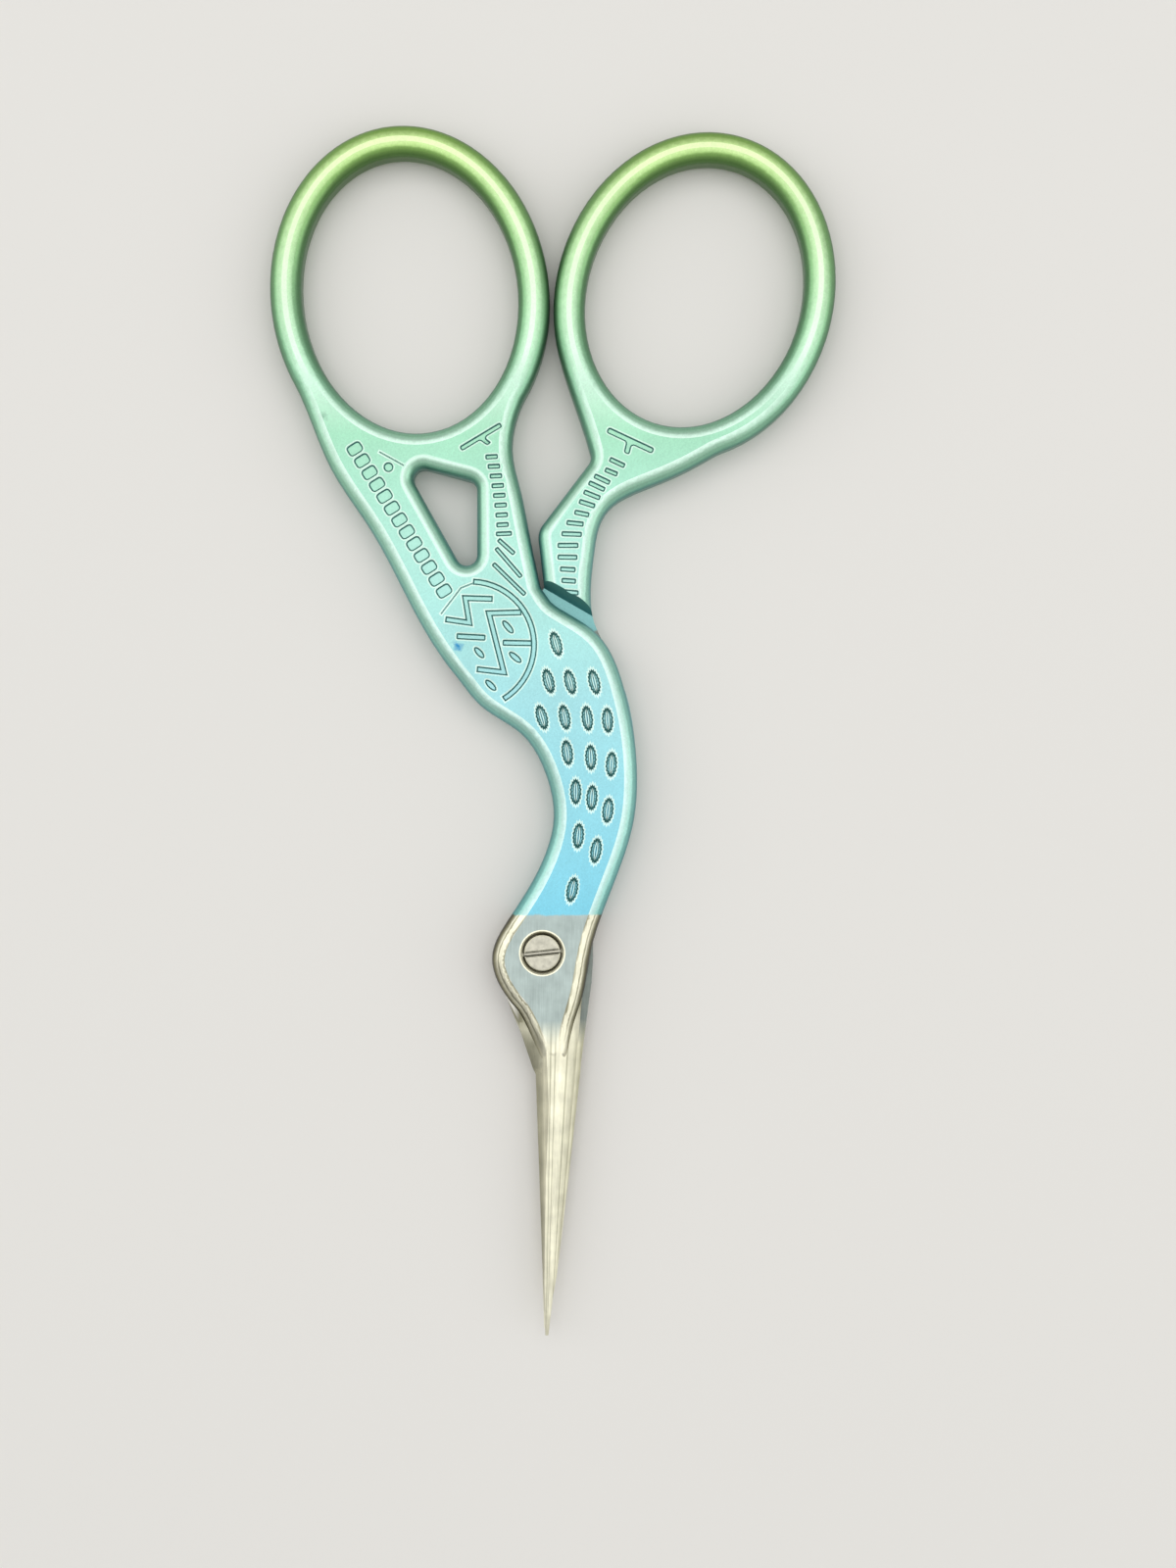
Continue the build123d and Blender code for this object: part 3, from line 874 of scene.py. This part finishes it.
def ridge(sections, materials):
    """A wedge of steel that joins the head's flat face to the beak's crest."""
    corners = [
        Vector((x, along, z)) * MM
        for along, (foot, crest), across in sections for x, z in zip(across, (foot, crest, crest, foot))
    ]
    piece = disc(len(corners) // 2)
    bpy.ops.object.mode_set(mode="EDIT")
    bpy.ops.mesh.select_all(action="SELECT")
    bpy.ops.mesh.extrude_region_move(TRANSFORM_OT_translate={"value": (0, 0, MM)})
    bpy.ops.object.mode_set(mode="OBJECT")
    for vertex, corner in zip(piece.data.vertices, corners):
        vertex.co = corner
    bpy.ops.object.mode_set(mode="EDIT")
    face_outwards()
    paint(piece, materials)
    return piece


# Fills the step between the back half's head and its blade, in the plate below the mating face
CORNER = ((3.5, -4.0), (4.6, -3.3), (4.66, -3.06), (4.8, -0.8), (4.82, 0.9), (3.5, 0.9))
CORNER_FOOT, CORNER_TOP = 0.6, 1.775


def front_tools(ornament, materials):
    """Every tool that presses the front half's top face."""
    width = ornament.channel / MM
    border = arc(MEDALLION, MEDALLION_RADIUS, MEDALLION_START_DEG, MEDALLION_END_DEG, MEDALLION_STEPS)
    outlines = [channel(path, width) for path in (border, UPPER_ZIGZAG, LOWER_ZIGZAG)]
    outlines.append(placed(oval(EYELET_WIDTH, EYELET_WIDTH), EYELET, 0))
    outlines.append(birds_foot(*FRONT_FOOT))
    tools = [tool(outline, ornament, materials) for outline in outlines]
    for path in (MEDALLION_EDGE, STRUT_LINE):
        tools.append(tool(channel(path, FINE_LINE), ornament, materials, share=FINE_SHARE))

    way = Vector(LAST_BEAD) - Vector(FIRST_BEAD)
    strut_deg = math.degrees(math.atan2(way.y, way.x))
    beads = [
        (between(FIRST_BEAD, LAST_BEAD, n / (BEAD_COUNT - 1)), strut_deg, 0) for n in range(BEAD_COUNT)
    ]
    rungs = [
        (between(FIRST_RUNG, LAST_RUNG, n / (RUNG_COUNT - 1), RUNG_BOW), RUNG_DEG, 0)
        for n in range(RUNG_COUNT)
    ]
    ovals = [(centre, deg, along - OVAL_LENGTH) for centre, along, deg in MEDALLION_OVALS]
    strokes = [reaching(*ends, STROKE_LENGTH) for ends in STROKES]
    cell_bars = [reaching(*ends, CELL_BAR_LENGTH) for ends in CELL_BARS]
    for outline, places in (
        (oval(OVAL_LENGTH, OVAL_WIDTH), ovals),
        (bar(BEAD_ALONG, BEAD_ACROSS, BEAD_ROUND), beads),
        (bar(RUNG_LENGTH, RUNG_WIDTH, RUNG_ROUND), rungs),
        (bar(STROKE_LENGTH, STROKE_WIDTH, RUNG_ROUND), strokes),
        (bar(CELL_BAR_LENGTH, width, RUNG_ROUND), cell_bars),
    ):
        tools += stamped(tool(outline, ornament, materials), places)
    return tools + feather_tools(ornament, materials)


def back_tools(ornament, materials):
    """Every tool that presses the back half's shank."""
    rung = tool(bar(SHANK_RUNG_LENGTH, SHANK_RUNG_WIDTH, RUNG_ROUND), ornament, materials)
    tools = stamped(rung, [(centre, deg, along - SHANK_RUNG_LENGTH) for centre, along, deg in SHANK_RUNGS])
    return tools + [tool(birds_foot(*BACK_FOOT), ornament, materials)]


def lacquer_pair(half):
    """The lacquer of a half, smooth and as it lies in the pressed ornament."""
    return lacquered_steel(f"pearl_lacquer_{half}"), lacquered_steel(f"pressed_lacquer_{half}", pressed=True)


class SCISSORS_OT_front_half(bpy.types.Operator):
    """Presses the feathers, medallion, beads and rungs into the front half and lacquers it"""

    bl_idname = "scissors.front_half"
    bl_label = "Front half"
    bl_options = {"REGISTER", "UNDO"}

    def execute(self, context):
        ornament = context.scene.scissors_ornament
        materials = lacquer_pair("front")
        piece = merged_copy("front_half", "front_half_pressed", materials)
        combine(piece, ridge(FRONT_RIDGE, materials), "UNION")
        combine(piece, joined(front_tools(ornament, materials)), "DIFFERENCE")
        finish_surface(piece)
        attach(piece, "front")
        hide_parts("front_half")
        return {"FINISHED"}


class SCISSORS_OT_back_half(bpy.types.Operator):
    """Presses the ladder and the bird's foot into the back half's shank and lacquers it"""

    bl_idname = "scissors.back_half"
    bl_label = "Back half"
    bl_options = {"REGISTER", "UNDO"}

    def execute(self, context):
        ornament = context.scene.scissors_ornament
        materials = lacquer_pair("back")
        piece = merged_copy("back_half", "back_half_pressed", materials)
        combine(piece, ridge(BACK_RIDGE, materials), "UNION")
        corner = prism(CORNER, CORNER_TOP * MM, CORNER_FOOT * MM)
        paint(corner, materials)
        combine(piece, corner, "UNION")
        combine(piece, joined(back_tools(ornament, materials)), "DIFFERENCE")
        finish_surface(piece)
        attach(piece, "back")
        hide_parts("back_half")
        return {"FINISHED"}


# The screw, from its packed box: radii and heights of its steps, in millimetres
SCREW_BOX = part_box("pivot_screw")
HEAD_RADIUS = (SCREW_BOX[1].x - SCREW_BOX[0].x) / 2 / MM
HEAD_TOP = SCREW_BOX[1].z / MM
SCREW_STEPS = (
    (1.35, 0.0), (0.95, 0.4), (0.95, 1.78), (1.15, 1.78), (1.15, HEAD_TOP - 0.85),
    (HEAD_RADIUS, HEAD_TOP - 0.85), (HEAD_RADIUS, HEAD_TOP - 0.1),
    (HEAD_RADIUS - 0.04, HEAD_TOP - 0.03), (HEAD_RADIUS - 0.13, HEAD_TOP),
)
SCREW_VERTICES = 96

# The slot's width at the top and at the foot, its depth and turn, and how far its tool overshoots
SLOT_WIDTH, SLOT_FOOT, SLOT_DEPTH, SLOT_DEG, SLOT_CLEAR = 0.36, 0.2, 0.4, 6, 1
SLOT_ROUND = 0.03
BURR_LENGTH, BURR_WIDTH, BURR_RISE, BURR_ROOT = 1.8 * HEAD_RADIUS, 0.12, 0.025, 0.2


def turned(steps, vertices):
    """A solid turned about the Z axis, from a disc at its foot up through its steps."""
    piece = disc(vertices, steps[0][0] * MM)
    bpy.ops.object.mode_set(mode="EDIT")
    bpy.ops.mesh.select_all(action="SELECT")
    for (radius, foot), (next_radius, top) in zip(steps, steps[1:]):
        bpy.ops.mesh.extrude_region_move(TRANSFORM_OT_translate={"value": (0, 0, (top - foot) * MM)})
        growth = next_radius / radius
        bpy.ops.transform.resize(value=(growth, growth, 1), center_override=(0, 0, 0))
    face_outwards()
    return piece


def slot_tool():
    """A wedge that cuts the worn slot across the head."""
    outline = placed(bar(2 * HEAD_RADIUS + SLOT_CLEAR, SLOT_WIDTH, SLOT_ROUND), (0, 0), SLOT_DEG)
    piece = prism(outline, (HEAD_TOP + SLOT_CLEAR) * MM, HEAD_TOP * MM)
    stepped([((SLOT_WIDTH - SLOT_FOOT) / 2 * MM, SLOT_DEPTH * MM)])
    return piece


def burrs():
    """Low lips of steel thrown up along both sides of the slot."""
    aside = (0, (SLOT_WIDTH + BURR_WIDTH) / 2)
    outline = placed(bar(BURR_LENGTH, BURR_WIDTH, BURR_WIDTH / 2), aside, 0)
    piece = prism(outline, HEAD_TOP * MM, (HEAD_TOP - BURR_ROOT) * MM)
    select_end(piece, UP)
    stepped([(BURR_WIDTH / 3 * MM, BURR_RISE * MM)])
    return stamped(piece, [((0, 0), SLOT_DEG, 0), ((0, 0), SLOT_DEG + 180, 0)])


class SCISSORS_OT_pivot_screw(bpy.types.Operator):
    """Turns the pivot screw, cuts its worn slot and throws up the burrs beside it"""

    bl_idname = "scissors.pivot_screw"
    bl_label = "Pivot screw"
    bl_options = {"REGISTER", "UNDO"}

    def execute(self, context):
        piece = turned(SCREW_STEPS, SCREW_VERTICES)
        piece.name = "pivot_screw_worn"
        for burr in burrs():
            combine(piece, burr, "UNION")
        combine(piece, slot_tool(), "DIFFERENCE")
        piece.data.materials.clear()
        paint(piece, [turned_steel()])
        finish_surface(piece)
        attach(piece, "back")
        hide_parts("pivot_screw")
        return {"FINISHED"}


def area_lamp(name, place, aim, size, power):
    """A soft square lamp that points at a place."""
    data = bpy.data.lights.new(name, "AREA")
    data.shape = "SQUARE"
    data.size = size
    data.energy = power
    lamp = bpy.data.objects.new(name, data)
    bpy.context.scene.collection.objects.link(lamp)
    lamp.location = place
    lamp.rotation_euler = (aim - place).to_track_quat("-Z", "Y").to_euler()


# Stage, in metres. The floor lies a hair under the scissors, so that the two don't flicker
FLOOR_SIZE, FLOOR_DROP = 3.0, 0.00002
OVERHEAD_SIZE, SIDE_SIZE = 0.8, 0.5
OVERHEAD_PLACE = Vector((0.0, 0.12, 0.6))
SIDE_PLACES = (Vector((-0.55, 0.15, 0.35)), Vector((0.55, -0.05, 0.35)))
CLIP_START = 0.01

# In millimetres: where the camera looks, halfway up the stock and midway along the scissors, what
# the picture's long side takes in there, and the camera's sensor
VIEW_X, VIEW_Y = 4.33, 15.98
VIEW_LENGTH, SENSOR = 149.5, 36.0


class SCISSORS_OT_stage(bpy.types.Operator):
    """Lays the floor, hangs the lamps and sets the camera straight above the scissors"""

    bl_idname = "scissors.stage"
    bl_label = "Stage"
    bl_options = {"REGISTER", "UNDO"}

    def execute(self, context):
        stage = context.scene.scissors_stage
        bpy.ops.object.select_all(action="DESELECT")
        bpy.ops.mesh.primitive_plane_add(size=FLOOR_SIZE, location=(0, 0, -FLOOR_DROP))
        floor = context.object
        floor.name = "floor"
        floor.data.materials.append(plain_floor())

        middle = Vector((VIEW_X, VIEW_Y, TOP / 2)) * MM
        area_lamp("overhead_lamp", OVERHEAD_PLACE, middle, OVERHEAD_SIZE, stage.overhead)
        for number, place in enumerate(SIDE_PLACES):
            area_lamp(f"side_lamp_{number}", place, middle, SIDE_SIZE, stage.side)

        world = bpy.data.worlds.new("studio")
        world.use_nodes = True
        background = world.node_tree.nodes["Background"]
        background.inputs["Color"].default_value = linear("#FFFFFF")
        background.inputs["Strength"].default_value = stage.ambient
        context.scene.world = world

        data = bpy.data.cameras.new("camera")
        data.sensor_width = SENSOR
        reach = stage.camera_height - middle.z
        data.lens = SENSOR * reach / (VIEW_LENGTH * MM)
        data.clip_start = CLIP_START
        camera = bpy.data.objects.new("camera", data)
        context.scene.collection.objects.link(camera)
        camera.location = (middle.x, middle.y, stage.camera_height)
        context.scene.camera = camera
        context.scene.view_settings.view_transform = "Standard"
        return {"FINISHED"}


class SCISSORS_PT_panel(bpy.types.Panel):
    """Lists the steps in the order in which they run"""

    bl_idname = "SCISSORS_PT_panel"
    bl_label = "Stork scissors"
    bl_space_type = "VIEW_3D"
    bl_region_type = "UI"
    bl_category = "Scissors"

    def draw(self, context):
        for step in STEPS:
            self.layout.operator(step.bl_idname)
        for group in SETTINGS:
            settings = getattr(context.scene, group)
            box = self.layout.box()
            for name in settings.__annotations__:
                box.prop(settings, name)


SETTINGS = {
    "scissors_lacquer": ScissorsLacquerSettings,
    "scissors_steel": ScissorsSteelSettings,
    "scissors_ornament": ScissorsOrnamentSettings,
    "scissors_stage": ScissorsStageSettings,
}
STEPS = (SCISSORS_OT_front_half, SCISSORS_OT_back_half, SCISSORS_OT_pivot_screw, SCISSORS_OT_stage)


def register():
    """Registers the settings, the steps and the panel."""
    for name, group in SETTINGS.items():
        bpy.utils.register_class(group)
        setattr(bpy.types.Scene, name, PointerProperty(type=group))
    for step in (*STEPS, SCISSORS_PT_panel):
        bpy.utils.register_class(step)


def unregister():
    """Takes away what register added."""
    for step in (*STEPS, SCISSORS_PT_panel):
        bpy.utils.unregister_class(step)
    for name, group in SETTINGS.items():
        delattr(bpy.types.Scene, name)
        bpy.utils.unregister_class(group)


def main():
    """Runs every step."""
    register()
    bpy.ops.scissors.front_half()
    bpy.ops.scissors.back_half()
    bpy.ops.scissors.pivot_screw()
    bpy.ops.scissors.stage()


if __name__ == "__main__":
    main()
